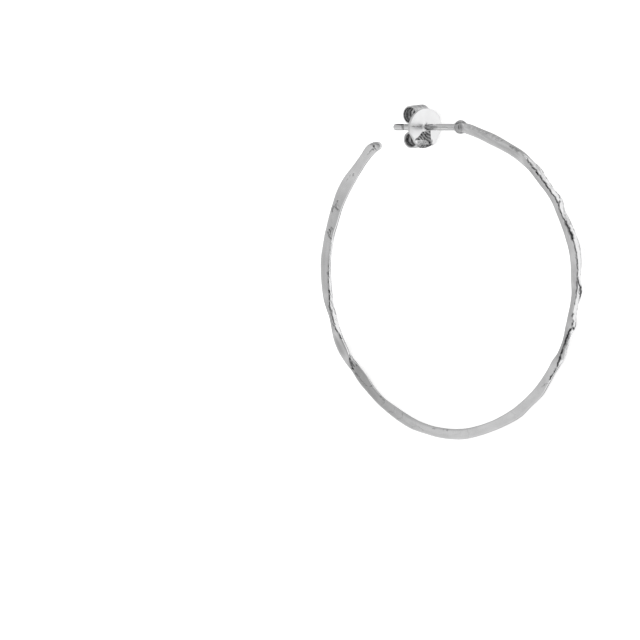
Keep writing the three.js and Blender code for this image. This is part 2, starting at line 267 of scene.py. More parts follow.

# Creases, as lines on the bar. Each has its points as the camera sees them: degrees round the
# hoop from its right side, and pixels outwards from the circle that the bar follows. Then come a
# half width and a depth in millimetres, and how dark it is, from 0 to 1. In a crease the dark is
# oxide left in it; the broad lines with little or no depth are painted shade that darkens a facet.
CREASES_AND_PAINTED_SHADE = [
    ([(115.8, 2.2), (116.6, 4.6), (117.6, 6.4), (118.2, 8.0)], 0.13, 0.02, 0.45),
    ([(117.6, 5.4), (118.1, 4.4), (118.2, 2.2), (118.1, -0.4)], 0.08, 0.05, 0.55),
    ([(117.8, 5.1), (118.2, 4.1)], 0.12, 0.05, 1.00),
    ([(119.0, 3.0), (119.1, 2.1)], 0.11, 0.05, 0.85),
    ([(119.3, 2.7), (122.0, 2.6)], 0.08, 0.03, 0.45),
    ([(132.0, 0.9), (132.6, 0.4)], 0.14, 0.05, 0.60),
    ([(133.0, 3.3), (136.0, 2.9)], 0.06, 0.02, 0.20),
    ([(144.3, 2.0), (146.0, 2.6), (147.6, 3.8), (149.2, 4.2)], 0.09, 0.05, 0.50),
    ([(147.2, 1.3), (147.3, 0.0), (147.6, -1.6)], 0.13, 0.06, 0.50),
    ([(146.6, 2.4), (147.2, 1.3)], 0.09, 0.05, 0.45),
    # Painted shade: a broad line without depth that darkens a facet.
    ([(146.4, 1.2), (147.8, -0.6)], 0.40, 0.00, 0.14),
    ([(155.2, 0.2), (156.2, 1.6), (156.8, -0.2), (157.6, -1.2)], 0.08, 0.05, 0.60),
    ([(157.6, -1.2), (158.2, 0.8), (159.4, -1.6)], 0.08, 0.05, 0.60),
    ([(155.4, -1.0), (156.4, -0.6)], 0.10, 0.05, 0.60),
    ([(157.0, 2.2), (157.9, 1.2)], 0.09, 0.05, 0.60),
    # Painted shade: a broad line without depth that darkens a facet.
    ([(155.6, 0.6), (158.6, 0.0)], 0.45, 0.00, 0.16),
    ([(161.0, -3.4), (166.0, -3.3), (171.0, -2.6), (176.0, -2.2), (183.0, -1.2)], 0.06, 0.04, 0.70),
    ([(171.5, -2.3), (173.0, -1.8)], 0.09, 0.04, 0.60),
    ([(168.0, -4.1), (175.0, -4.2), (182.0, -4.0)], 0.06, 0.02, 0.50),
    ([(179.0, -1.8), (182.0, -1.2), (184.5, 0.6), (187.0, 1.9), (190.0, 2.4)], 0.07, 0.05, 1.00),
    ([(190.0, 2.4), (192.5, 1.2), (195.0, -0.8), (198.0, -2.4)], 0.07, 0.05, 0.90),
    ([(185.0, 0.0), (187.5, 0.7), (190.0, 0.2), (192.0, -0.6)], 0.06, 0.04, 0.70),
    ([(183.0, -2.2), (186.0, -3.2), (188.5, -4.2)], 0.06, 0.03, 0.70),
    ([(191.5, -4.8), (194.0, -4.6), (197.0, -4.0), (200.0, -4.2)], 0.06, 0.03, 0.60),
    ([(199.0, -3.4), (203.0, -3.6), (206.0, -3.2)], 0.06, 0.03, 0.50),
    ([(204.8, -2.8), (206.4, -1.4), (208.0, 0.6), (210.5, 1.2)], 0.10, 0.06, 0.90),
    ([(207.2, -1.2), (208.4, -0.6), (209.8, -1.4)], 0.09, 0.05, 0.90),
    ([(208.6, 0.9), (209.4, -0.1)], 0.09, 0.05, 0.80),
    ([(205.5, -4.2), (208.0, -4.4), (210.0, -3.6)], 0.06, 0.03, 0.50),
    ([(210.5, 1.2), (214.0, 1.2), (217.5, 0.8), (219.6, -0.6), (220.3, -2.4)], 0.06, 0.05, 0.50),
    ([(220.3, -2.4), (220.2, -3.8)], 0.06, 0.05, 0.50),
    ([(228.6, 3.4), (228.9, 0.0), (228.4, -3.4)], 0.06, 0.02, 0.30),
    ([(226.0, -3.2), (228.0, -2.8)], 0.09, 0.04, 0.40),
    ([(232.6, 3.8), (234.4, 1.0), (233.6, -3.4)], 0.06, 0.02, 0.25),
    ([(237.2, 4.4), (238.8, 0.8), (237.8, -3.4)], 0.06, 0.02, 0.25),
    ([(244.0, 4.8), (246.2, 1.2), (249.0, 4.6)], 0.06, 0.02, 0.20),
    ([(252.5, -0.8), (254.5, -1.6)], 0.06, 0.03, 0.30),
    ([(257.6, -2.0), (258.4, -2.5)], 0.10, 0.04, 0.60),
    ([(259.4, -2.1), (259.8, -2.5)], 0.10, 0.04, 0.60),
    ([(269.0, 4.8), (269.6, 1.0), (269.2, -4.0)], 0.06, 0.02, 0.20),
    ([(291.0, 3.6), (292.4, 0.2), (291.6, -4.0)], 0.06, 0.02, 0.12),
    ([(309.0, -2.6), (310.2, -1.6), (311.4, -0.4), (311.6, 1.8)], 0.08, 0.03, 0.35),
    ([(313.3, 0.3), (315.0, 0.1), (317.8, 0.1), (320.0, -0.7), (322.2, -1.5)], 0.13, 0.06, 1.00),
    ([(322.2, -1.5), (323.4, -2.2), (325.2, -3.0), (327.4, -3.2)], 0.19, 0.10, 1.00),
    ([(327.4, -3.2), (330.2, -2.7), (333.0, -2.0), (335.0, -1.2)], 0.19, 0.10, 1.00),
    ([(324.4, 2.6), (327.5, 1.4), (330.5, 1.2)], 0.06, 0.03, 0.30),
    ([(335.2, 2.4), (335.8, 1.0)], 0.16, 0.08, 1.00),
    ([(336.6, 0.0), (338.4, -0.8)], 0.13, 0.06, 0.90),
    ([(336.0, 3.4), (338.0, 2.8), (339.6, 3.2)], 0.09, 0.05, 0.70),
    ([(339.8, -1.8), (340.6, -1.6)], 0.14, 0.06, 0.90),
    ([(341.0, 2.0), (344.0, 2.8), (347.0, 3.6)], 0.08, 0.04, 0.45),
    ([(344.5, -1.7), (347.0, -0.9), (350.0, -0.3), (353.0, 0.5)], 0.08, 0.04, 0.70),
    ([(347.2, 4.0), (349.0, 5.0), (350.4, 4.2), (352.2, 2.4), (354.4, 1.4)], 0.16, 0.08, 1.00),
    ([(348.4, 2.8), (350.6, 2.4)], 0.09, 0.05, 0.80),
    ([(354.4, 1.2), (360.0, 1.5), (364.0, 1.8), (368.4, 1.8)], 0.06, 0.05, 0.70),
    ([(369.0, 1.8), (371.0, 1.5), (372.4, 0.9), (373.6, 0.3), (375.4, -0.6)], 0.19, 0.10, 1.00),
    ([(368.6, 1.0), (371.0, 0.2), (372.6, -0.9)], 0.07, 0.05, 0.70),
    ([(374.8, -0.8), (380.0, -1.5), (382.2, -0.6)], 0.08, 0.05, 0.90),
    ([(382.0, -0.9), (383.0, 0.8), (383.6, 3.2)], 0.11, 0.06, 0.90),
    ([(383.0, -0.6), (390.0, -1.1), (395.0, -1.8), (400.0, -1.2), (404.0, 0.0)], 0.08, 0.06, 0.95),
    ([(372.0, 5.6), (374.5, 4.5), (378.0, 4.0), (381.0, 4.6), (383.0, 4.9)], 0.08, 0.04, 0.50),
    ([(374.0, 3.0), (377.0, 2.2), (380.4, 2.8)], 0.08, 0.04, 0.40),
    ([(376.0, 0.8), (379.0, 1.2)], 0.08, 0.04, 0.40),
    ([(355.5, 4.6), (360.0, 5.9), (365.0, 6.8), (370.0, 6.4), (373.0, 5.6)], 0.06, 0.02, 0.50),
    ([(384.0, 4.4), (387.0, 4.6), (390.0, 4.1), (394.0, 5.0)], 0.07, 0.03, 0.70),
    ([(394.0, 5.0), (398.0, 5.4), (402.0, 4.5)], 0.07, 0.03, 0.70),
    ([(404.0, 0.6), (408.0, 1.4), (411.0, 0.6), (413.0, -0.8)], 0.07, 0.04, 0.50),
    ([(409.0, -0.4), (412.0, -1.2)], 0.07, 0.04, 0.40),
    ([(415.5, 1.8), (417.0, -1.4), (420.0, -3.4)], 0.06, 0.03, 0.25),
    ([(421.0, 1.4), (424.0, -0.8), (427.5, -2.8)], 0.06, 0.03, 0.30),
    ([(428.0, 0.6), (431.0, -1.2)], 0.06, 0.03, 0.25),
    # Painted shade: a broad line with hardly any depth that darkens a facet.
    ([(419.0, -0.4), (424.0, -0.9), (429.0, -1.2), (434.0, -1.4)], 0.30, 0.01, 0.14),
]

# A place counts as hidden where its skin is turned away from the camera, or within this cosine
# of edge on to it.
EDGE_ON = 0.05
# A crease wanders off its line in two waves: how far each goes, in millimetres, and how many
# radians of it a millimetre along the bar takes up.
WANDER = (0.045, 0.03)
WANDER_WAVES = (5.3, 13.1)
# How much the oxide and painted shade come and go along a crease.
PATCHY = 0.12

# Small marks of the hammer's edge, scattered by chance. Each pair is the least and the most.
SMALL_MARKS = 240
SMALL_MARK_LONG = (0.5, 1.5)
SMALL_MARK_WIDE = (0.2, 0.5)
SMALL_MARK_SHALLOWEST = 0.3
SMALL_MARK_DEPTH = 0.018
SMALL_MARK_SLANT = 0.4
MARK_SEED = 7


def through_rows(at, table):
    """A smooth curve through the rows of a table: between two rows it is the cubic whose slope
    at each row is the mean of the slopes to its two neighbours."""
    places, values = table[:, 0], table[:, 1:]
    slope = np.gradient(values, places, axis=0)
    row = np.clip(np.searchsorted(places, at, side="right") - 1, 0, len(places) - 2)
    gap = (places[row + 1] - places[row])[:, None]
    t = (at - places[row])[:, None] / gap
    start = (1 + 2 * t) * (1 - t) ** 2 * values[row] + t * (1 - t) ** 2 * gap * slope[row]
    end = t ** 2 * (3 - 2 * t) * values[row + 1] + t ** 2 * (t - 1) * gap * slope[row + 1]
    return (start + end).T


def faces_away(points):
    """Where a grid of points on a closed skin is turned away from the camera: its outward
    direction is the cross product of its steps along and around."""
    skin = np.cross(np.gradient(points, axis=0), np.gradient(points, axis=1))
    return skin @ back < EDGE_ON * np.linalg.norm(skin, axis=2)


def seen_on_bar(points, hidden, angle, off):
    """Row and column of the place on the bar that the camera sees at an angle round the hoop and
    off pixels outwards. The circle that the bar follows is an ellipse in the picture, and off
    is measured square to it. Of the places that aren't hidden, the nearest one is taken."""
    turn = math.radians(angle + POST_ROLL)
    onto = np.stack([right, up])
    circle = onto @ [HOOP_RADIUS * math.cos(turn), HOOP_RADIUS * math.sin(turn), 0]
    run = onto @ [-math.sin(turn), math.cos(turn), 0]
    outwards = np.array([run[1], -run[0]]) / np.hypot(*run)
    aim = circle + off * PICTURE_WIDTH / PICTURE_PIXELS * outwards
    miss = np.linalg.norm(points @ onto.T - aim, axis=2) + HOOP_RADIUS * hidden
    return np.unravel_index(np.argmin(miss), miss.shape)


def off_line(along, around, points):
    """Distance from each place on the unrolled bar to a line through the points: the nearest
    place on each stretch is its start plus the clipped share of the stretch."""
    nearest = np.full(along.shape, np.inf)
    for (a0, b0), (a1, b1) in zip(points[:-1], points[1:]):
        da, db = a1 - a0, b1 - b0
        share = ((along - a0) * da + (around - b0) * db) / (da ** 2 + db ** 2)
        share = np.clip(share, 0, 1)
        nearest = np.minimum(nearest, np.hypot(along - a0 - share * da, around - b0 - share * db))
    return nearest


def hollows(along, around, rows):
    """Depth of shallow hollows with crisp rims: depth times 1 - q squared inside each mark,
    where q is the distance from its middle in shares of its half length and half width."""
    depth = np.zeros(along.shape)
    turn = around.max() - around.min()
    for a, b, long, wide, deep, slant in rows:
        da = along - a
        db = around - b - slant * da
        db = db - turn * np.round(db / turn)
        depth = np.maximum(depth, deep * (1 - (da / long) ** 2 - (db / wide) ** 2))
    return depth


def bar_surface():
    """The bar's section carried round the hoop. The section is r = (|cos / a|^p + |sin / b|^p)
    ^ (-1 / p) about the bar's middle, with a and b half its width and thickness, less the marks
    and creases, then turned by the twist. Returns points, how dark each is, and the run of the
    bar along and around it in millimetres."""
    tip = TIP_SHARE * np.linspace(0, 1, TIP_STEPS, endpoint=False)
    at = np.concatenate([tip, np.linspace(TIP_SHARE, 1, BAR_STEPS)])
    drift, width, thick, twist, square = through_rows(at, SECTIONS)[:, :, None]
    turn = np.linspace(0, 2 * math.pi, AROUND_STEPS + 1)[None, :]
    a, b = width * BAR_WIDTH / 2, thick * BAR_THICKNESS / 2
    sides = np.abs(np.cos(turn) / a) ** square + np.abs(np.sin(turn) / b) ** square
    radius = sides ** (-1 / square)
    lean = np.radians(twist)
    place = np.radians(FREE_END_ANGLE + at * BAR_SWEEP)[:, None]

    def carried(radius):
        outwards, upwards = radius * np.cos(turn), radius * np.sin(turn)
        out = outwards * np.cos(lean) - upwards * np.sin(lean)
        rise = outwards * np.sin(lean) + upwards * np.cos(lean)
        reach = HOOP_RADIUS + drift * BAR_WIDTH + out
        return np.stack([reach * np.cos(place), reach * np.sin(place), rise], axis=2)

    length = HOOP_RADIUS * math.radians(BAR_SWEEP)
    mean_radius = (BAR_WIDTH + BAR_THICKNESS) / 4
    along = length * at[:, None] + 0 * turn
    around = mean_radius * turn + 0 * along
    degree = mean_radius * math.pi / 180
    marks = [(length * m[0], degree * m[1], *m[2:]) for m in MARKS]
    inset = hollows(along, around, marks)
    random = np.random.default_rng(MARK_SEED)
    small = np.stack([
        random.uniform(0, length, SMALL_MARKS),
        random.uniform(0, around.max(), SMALL_MARKS),
        random.uniform(*SMALL_MARK_LONG, SMALL_MARKS),
        random.uniform(*SMALL_MARK_WIDE, SMALL_MARKS),
        random.uniform(SMALL_MARK_SHALLOWEST, 1.0, SMALL_MARKS) * SMALL_MARK_DEPTH,
        random.uniform(-SMALL_MARK_SLANT, SMALL_MARK_SLANT, SMALL_MARKS),
    ], axis=1)
    inset += hollows(along, around, small)
    oxide_and_painted_shade = np.zeros(along.shape)
    wander = WANDER[0] * np.sin(WANDER_WAVES[0] * along)
    wander += WANDER[1] * np.sin(WANDER_WAVES[1] * along + 2)
    patchy = 1 - PATCHY + PATCHY * np.sin(3.7 * along + 2 * np.sin(1.9 * along) + 3 * around)
    plain = carried(radius)
    hidden = faces_away(plain)
    whole = around.max()
    # Each line lays oxide in its crease, and the broad lines without depth lay painted shade.
    for seen, half, deep, dark in CREASES_AND_PAINTED_SHADE:
        line = [seen_on_bar(plain, hidden, angle, off) for angle, off in seen]
        line = [(along[spot], around[spot]) for spot in line]
        # Around starts afresh at the outer side, so the last quarter counts as below zero.
        line = [(p, q - whole if q > 0.75 * whole else q) for p, q in line]
        off = off_line(along, around + wander, line)
        off = np.minimum(off, off_line(along, around + wander - whole, line))
        near = np.exp(-(off / half) ** 2)
        inset += deep * near
        oxide_and_painted_shade = np.maximum(oxide_and_painted_shade, dark * near * patchy)
    return carried(radius - inset), oxide_and_painted_shade, along, around


def cap(columns, middle, first_corner, row, forwards):
    """Faces of a fan that closes a row of corners onto its middle, and each face's places in the
    grid, as rows and columns."""
    ring = np.arange(columns)
    this, that = (ring + 1, ring) if forwards else (ring, ring + 1)
    faces = [0 * ring + middle, first_corner + this % columns, first_corner + that % columns]
    runs = [np.stack([0 * ring + row, column], axis=1) for column in (0 * ring, this, that)]
    return np.stack(faces, axis=1).tolist(), np.stack(runs, axis=1).reshape(-1, 2)


def new_piece(name, points, along=None, around=None, oxide_and_painted_shade=None, loop=False):
    """A closed skin over a grid of points, which has its first column again as its last one.
    Its rows are joined into a ring if loop is set, and otherwise each end is closed onto the
    middle of its row. The run along and around goes into a UV map, and the oxide and painted
    shade into an attribute."""
    rows, columns = points.shape[0], points.shape[1] - 1
    row, column = np.meshgrid(np.arange(rows - 1), np.arange(columns), indexing="ij")
    corners = np.stack([
        [row, column], [row, column + 1], [row + 1, column + 1], [row + 1, column],
    ], axis=0)
    corners = corners.transpose(2, 3, 0, 1).reshape(-1, 4, 2)
    used = rows - 1 if loop else rows
    index = (corners[..., 0] % used) * columns + corners[..., 1] % columns
    places = points[:used, :columns].reshape(-1, 3)
    faces = index.tolist()
    runs = corners.reshape(-1, 2)
    if not loop:
        middles = [points[0, :columns].mean(0), points[-1, :columns].mean(0)]
        places = np.concatenate([places, middles])
        count = rows * columns
        first_faces, first_runs = cap(columns, count, 0, 0, True)
        last_faces, last_runs = cap(columns, count + 1, count - columns, rows - 1, False)
        faces += first_faces + last_faces
        runs = np.concatenate([runs, first_runs, last_runs])
    mesh = bpy.data.meshes.new(name)
    mesh.from_pydata(on_table(places).tolist(), [], faces)
    if along is not None:
        layer = mesh.uv_layers.new(name="run")
        uv = np.stack([along[runs[:, 0], runs[:, 1]], around[runs[:, 0], runs[:, 1]]], axis=1)
        layer.data.foreach_set("uv", uv.astype(np.float32).ravel())
    dark = np.zeros(len(places), np.float32)
    if oxide_and_painted_shade is not None:
        dark[:used * columns] = oxide_and_painted_shade[:used, :columns].ravel()
    mesh.attributes.new("oxide_and_painted_shade", "FLOAT", "POINT").data.foreach_set("value", dark)
    mesh.shade_smooth()
    mesh.update()
    piece = bpy.data.objects.new(name, mesh)
    bpy.context.scene.collection.objects.link(piece)
    return piece


class Node:
    """A socket of a material's node tree. Arithmetic on it adds Math nodes."""

    def __init__(self, tree, socket):
        self.tree = tree
        self.socket = socket

    def add(self, kind, settings=(), out=0, **inputs):
        """A new node with its settings set first, then its sockets by name or number."""
        node = self.tree.nodes.new(kind)
        for key, value in dict(settings).items():
            setattr(node, key, value)
        for key, value in inputs.items():
            name = int(key[1:]) if key[0] == "_" and key[1:].isdigit() else key.replace("_", " ")
            target = node.inputs[name]
            if isinstance(value, Node):
                self.tree.links.new(value.socket, target)
            else:
                target.default_value = value
        return Node(self.tree, node.outputs[out])

    def math(self, operation, *values):
        inputs = {f"_{i}": v for i, v in enumerate(values)}
        return self.add("ShaderNodeMath", {"operation": operation}, **inputs)

    def __add__(self, other):
        return self.math("ADD", self, other)

    __radd__ = __add__

    def __sub__(self, other):
        return self.math("SUBTRACT", self, other)

    def __rsub__(self, other):
        return self.math("SUBTRACT", other, self)

    def __mul__(self, other):
        return self.math("MULTIPLY", self, other)

    __rmul__ = __mul__

    def clipped(self):
        return self.math("MAXIMUM", self.math("MINIMUM", self, 1.0), 0.0)

    def step(self, low, high):
        """0 below low, 1 above high, and smooth between them."""
        return self.add(
            "ShaderNodeMapRange", {"interpolation_type": "SMOOTHSTEP"},
            Value=self, From_Min=low, From_Max=high,
        )


def mixed(share, first, second):
    """A colour that goes from first to second as share goes from 0 to 1."""
    return share.add(
        "ShaderNodeMix", {"data_type": "RGBA"}, out=2, _0=share, _6=first, _7=second,
    )


def noise(vector, scale, detail=3.0, roughness=0.5):
    return vector.add(
        "ShaderNodeTexNoise", Vector=vector, Scale=scale, Detail=detail, Roughness=roughness,
    )


def stretched(vector, along, around):
    return vector.add(
        "ShaderNodeVectorMath", {"operation": "MULTIPLY"}, _0=vector, _1=(along, around, 1),
    )


# Noise cells to the metre: clouds of gloss, flecks in the oxide and painted shade, and grains of
# the metal.
CLOUDS = 420.0
FLECKS = 3000.0
GRAINS = 9000.0
# Polishing lines: how much finer they are around a piece than along it, in cells to the
# millimetre.
LINES_ALONG = 0.6
LINES_AROUND = 14.0
OXIDE_AND_SHADE_COLOUR = (0.035, 0.035, 0.038, 1)
OXIDE_ROUGHNESS = 0.35
FLECK_BITE = 4.5
GRAIN_BITE = 2.0
BUMP_STRENGTH = 0.35


def silver(name, bright, dull, smooth, rough, brushed, pitted, relief_height=0.00002):
    """Polished silver. Its colour and gloss wander over a few millimetres, fine polishing lines
    run along the piece, and the piece's dark attribute lays dark oxide in its creases and painted
    shade and painted reflections wherever the piece marks them."""
    material = bpy.data.materials.new(name)
    material.use_nodes = True
    tree = material.node_tree
    shader = tree.nodes["Principled BSDF"]
    start = Node(tree, None)
    place = start.add("ShaderNodeTexCoord", out=3)
    run = start.add("ShaderNodeUVMap", {"uv_map": "run"})
    oxide_and_painted_shade = start.add("ShaderNodeAttribute", {"attribute_name": "oxide_and_painted_shade"}, out=2)
    clouds = noise(place, CLOUDS, 4.0)
    grains = noise(place, GRAINS, 2.0)
    lines = noise(stretched(run, LINES_ALONG, LINES_AROUND), 1.0, 4.0, 0.6)
    flecks = noise(place, FLECKS, 3.0)
    mottle = FLECK_BITE * (flecks - 0.5) + GRAIN_BITE * (grains - 0.5)
    # Painted shade and painted reflections come in with the oxide attribute and darken the colour
    # here, as the oxide does.
    darkening = (oxide_and_painted_shade + oxide_and_painted_shade * (1 - oxide_and_painted_shade) * mottle).clipped()
    dimming = (clouds - 0.35).step(0.0, 0.3)
    colour = mixed(dimming, bright, dull)
    colour = mixed((1.25 * darkening - 0.05).clipped(), colour, OXIDE_AND_SHADE_COLOUR)
    gloss = smooth + (rough - smooth) * (0.5 * dimming + 0.5 * lines) + OXIDE_ROUGHNESS * darkening
    relief = brushed * lines + pitted * grains - 0.5 * darkening
    shader.inputs["Metallic"].default_value = 1.0
    tree.links.new(colour.socket, shader.inputs["Base Color"])
    tree.links.new(gloss.socket, shader.inputs["Roughness"])
    bump = start.add(
        "ShaderNodeBump", Strength=BUMP_STRENGTH, Distance=relief_height, Height=relief,
    )
    tree.links.new(bump.socket, shader.inputs["Normal"])
    return material


hammered_silver = silver(
    "hammered_silver",
    bright=(0.93, 0.93, 0.935, 1),
    dull=(0.87, 0.87, 0.875, 1),
    smooth=0.08,
    rough=0.24,
    brushed=0.5,
    pitted=0.25,
)

points, oxide_and_painted_shade, along, around = bar_surface()
bar = new_piece("hammered_bar", points, along, around, oxide_and_painted_shade)
bar.data.materials.append(hammered_silver)
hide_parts("hoop")
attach(bar, "hoop")

# The joint ball
#
# A small ball of silver melted onto the end of the bar, where the ear post is soldered in. The
# solder has run a little way up the post, and the ball has a few soft flats.

BALL_STEPS = 96
BALL_LUMPS = 0.03
POLE_GAP = 0.02
SEAM_DEPTH = 0.03
# Soft flats of the ball, each as a direction and how much of the radius it cuts off.
BALL_FLATS = [
    # x, y, z, deep
    (0.05, 0.20, 1.00, 0.05),
    (0.00, -0.70, 0.72, 0.03),
    (-0.60, 0.45, 0.66, 0.05),
    (-0.70, -0.40, 0.60, 0.04),
]

# Seams and scratches of the soldered joint, as shallow lines over the ball, darkened with painted
# shade that stands for the ball's darker facets. Each has its points as the camera sees them,
# rightwards and upwards of the ball's middle, then a half width, all in shares of its radius,
# and how dark it is, from 0 to 1.
BALL_SEAMS_AND_SHADE = [
    ([(-0.75, 0.45), (-0.40, 0.58), (0.20, 0.62), (0.72, 0.50)], 0.10, 0.72),
    ([(-0.34, 0.22), (-0.33, 0.00), (-0.28, -0.30)], 0.08, 0.55),
    ([(-0.16, 0.42), (-0.02, 0.10), (0.09, -0.30), (0.06, -0.72)], 0.05, 0.28),
    ([(0.02, -0.84), (0.36, -0.86), (0.62, -0.70)], 0.12, 0.72),
    ([(0.30, 0.88), (0.62, 0.74), (0.82, 0.50)], 0.12, 0.72),
    ([(-0.90, 0.10), (-0.86, -0.35), (-0.55, -0.78)], 0.08, 0.35),
]
soldered_silver = silver(
    "soldered_silver",
    bright=(0.80, 0.80, 0.805, 1),
    dull=(0.62, 0.62, 0.625, 1),
    smooth=0.34,
    rough=0.52,
    brushed=0.2,
    pitted=0.8,
    relief_height=0.00005,
)


def ball_surface():
    """A ball with poles along the post: its radius swells by a few low waves and is cut back to
    a soft plane wherever a flat lies."""
    polar = np.linspace(POLE_GAP, math.pi - POLE_GAP, BALL_STEPS)[:, None]
    turn = np.linspace(0, 2 * math.pi, BALL_STEPS + 1)[None, :]
    direction = np.stack([
        -np.cos(polar) + 0 * turn,
        np.sin(polar) * np.cos(turn),
        np.sin(polar) * np.sin(turn),
    ], axis=2)
    x, y, z = np.moveaxis(direction, 2, 0)
    radius = 1 + BALL_LUMPS * (np.sin(3 * x + 2 * y) * np.cos(2 * z) + 0.4 * np.sin(5 * y - 3 * z))
    for *towards, deep in BALL_FLATS:
        towards = np.array(towards) / np.linalg.norm(towards)
        facing = np.maximum(direction @ towards, 0.2)
        radius = np.minimum(radius, (1 - deep) / facing)
    oxide_and_painted_shade = np.zeros(radius.shape)
    # Painted shade along the seams.
    for seen, half, dark in BALL_SEAMS_AND_SHADE:
        off = np.full(radius.shape, np.inf)
        line = [a * right + b * up + math.sqrt(1 - a * a - b * b) * back for a, b in seen]
        for start, end in zip(line[:-1], line[1:]):
            step = end - start
            share = np.clip((direction - start) @ step / (step @ step), 0, 1)
            nearest = start + share[..., None] * step
            off = np.minimum(off, np.linalg.norm(direction - nearest, axis=2))
        near = np.exp(-(off / half) ** 2)
        oxide_and_painted_shade = np.maximum(oxide_and_painted_shade, dark * near)
    radius = radius - SEAM_DEPTH * oxide_and_painted_shade
    points = BALL_RADIUS * radius[..., None] * direction
    along = BALL_RADIUS * polar + 0 * turn
    around = BALL_RADIUS * turn + 0 * polar
    return points + [ball_x, ball_y, 0], along, around, oxide_and_painted_shade


points, along, around, oxide_and_painted_shade = ball_surface()
ball = new_piece("joint_ball", points, along, around, oxide_and_painted_shade)
ball.data.materials.append(soldered_silver)
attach(ball, "hoop")

# The ear post
#
# A drawn silver wire, soldered into the ball and cut to length. Its tip is rounded so that it
# passes through the ear, and a shallow groove near the tip is where the clutch clicks home.

POST_RADIUS = 0.46
POST_LENGTH = 10.5
TIP_ROUND = 0.2
GROOVE_FROM_TIP = 1.7
GROOVE_WIDTH = 0.5
GROOVE_DEPTH = 0.06
SOLDER_LENGTH = 0.14
SOLDER_RISE = 0.10
GROOVE_DARK = 0.40
GROOVE_STAIN = 0.20
POST_UNEVEN = 0.004
POST_SIDES = 64

# Painted reflections, as dark streaks that run along the post. first and last: distances from its
# tip. facing and half: degrees round it from the outer side of the hoop, and the streak's half
# width. dark: how dark, from 0 to 1.
POST_PAINTED_REFLECTIONS = [
    # first, last, facing, half, dark
    (0.5, 1.7, 30, 22, 0.80),
    (5.2, 6.6, 40, 16, 0.85),
    (5.1, 5.6, 100, 16, 0.80),
    (6.6, 10.2, 96, 9, 0.30),
    (2.2, 3.2, 60, 14, 0.35),
]


def soft(value, low, high):
    """0 below low, 1 above high, and 3 t^2 - 2 t^3 between them."""
    t = np.clip((value - low) / (high - low), 0, 1)
    return t * t * (3 - 2 * t)


post_tip_x = ball_x - BALL_RADIUS - POST_LENGTH


def post_surface():
    """The post's radius against the distance from its tip, turned about the post: a quarter
    round at the tip, a cosine groove, and a flare of solder where it meets the ball."""
    tip = np.linspace(0, math.pi / 2, 12)
    tip_along = TIP_ROUND * (1 - np.cos(tip))
    tip_radius = POST_RADIUS - TIP_ROUND * (1 - np.sin(tip))
    along = np.linspace(TIP_ROUND, POST_LENGTH + BALL_RADIUS * 0.5, 260)[1:]
    groove = np.abs(along - GROOVE_FROM_TIP) / (GROOVE_WIDTH / 2)
    radius = POST_RADIUS - GROOVE_DEPTH * 0.5 * (1 + np.cos(math.pi * np.minimum(groove, 1)))
    to_ball = np.maximum(POST_LENGTH + 0.04 - along, 0) / SOLDER_LENGTH
    radius = radius + SOLDER_RISE * np.maximum(1 - to_ball, 0) ** 2
    along = np.concatenate([tip_along, along])[:, None]
    radius = np.concatenate([tip_radius, radius])[:, None]
    turn = np.linspace(0, 2 * math.pi, POST_SIDES + 1)[None, :]
    radius = radius * (1 + POST_UNEVEN * np.sin(2 * turn + 0.6 * along))
    points = np.stack([
        post_tip_x + along + 0 * turn,
        ball_y + radius * np.cos(turn),
        radius * np.sin(turn),
    ], axis=2)
    oxide_and_painted_shade = GROOVE_DARK * np.exp(-((along - GROOVE_FROM_TIP) / GROOVE_STAIN) ** 2) + 0 * turn
    # Painted reflections as dark streaks on the post.
    for first, last, facing, half, dark in POST_PAINTED_REFLECTIONS:
        ends = soft(along, first - 0.2, first) * (1 - soft(along, last, last + 0.6))
        aside = np.angle(np.exp(1j * (turn - math.radians(facing) + 0.12 * np.sin(3 * along))))
        oxide_and_painted_shade = np.maximum(oxide_and_painted_shade, dark * ends * np.exp(-(aside / math.radians(half)) ** 2))
    return points, along + 0 * turn, POST_RADIUS * turn + 0 * along, oxide_and_painted_shade


points, along, around, oxide_and_painted_shade = post_surface()
post = new_piece("ear_post", points, along, around, oxide_and_painted_shade)
post.data.materials.append(hammered_silver)
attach(post, "hoop")

# The clutch's plate
#
# The clutch is stamped from one thin strip of silver. Its oval plate lies against the back of
# the ear. The hole is pressed through towards the ear, which leaves a collar round it, and the
# plate is stretched into fine folds where the lower wing bends away. Dark stripes of painted
# reflection lie on the folds, painted shade lies on the bent strip and at its corner, and a thin
# painted reflection of the post lies beside the hole.

PLATE_ALONG_HOOP_AXIS = 7.6
PLATE_ACROSS = 5.66
PLATE_SHEET = 0.3
PLATE_DROP = 0.2
PLATE_EDGE_ROUND = 0.03
COLLAR_RADIUS = 0.85
COLLAR_HEIGHT = 0.22
HOLE_RADIUS = 0.53
PLATE_SIDES = 288
FACE_STEPS = 90
RIM_STEPS = 11
THROAT_STEPS = 9
THROAT_SHARE = 0.32
RIM_POWER = 0.3
PLATE_DENTS = 0.006
PLATE_TAPER = 0.14
TAPER_SPAN = (0.2, 1.6)
# From the hole to the rim as the texture counts it, in millimetres.
TEXTURE_REACH = 2.8

# The strip at the plate's lower side, which is bent away from the ear.
STRIP_HALF = 1.5
STRIP_SIDE = 0.12
BEND_START = 1.70
BEND_RADIUS = 2.1

# Folds: their depth and spacing, the way across them, and how much they waver.
FOLD_DEPTH = 0.016
FOLD_SPACING = 0.45
FOLD_WAY = (0.49, -0.87)
FOLD_WAVER = 0.10
# The edges of the patch of folds, as places along the hoop's axis and across it.
FOLDS_TOP = [(-1.1, -0.50), (0.9, -0.58), (1.6, -1.09), (2.8, -1.60)]
FOLDS_BOTTOM = [(-1.1, -2.30), (-0.7, -2.40), (-0.2, -1.96), (1.0, -1.78), (2.6, -1.74)]
FOLDS_SPAN = (-1.15, -1.05, 2.5, 2.8)
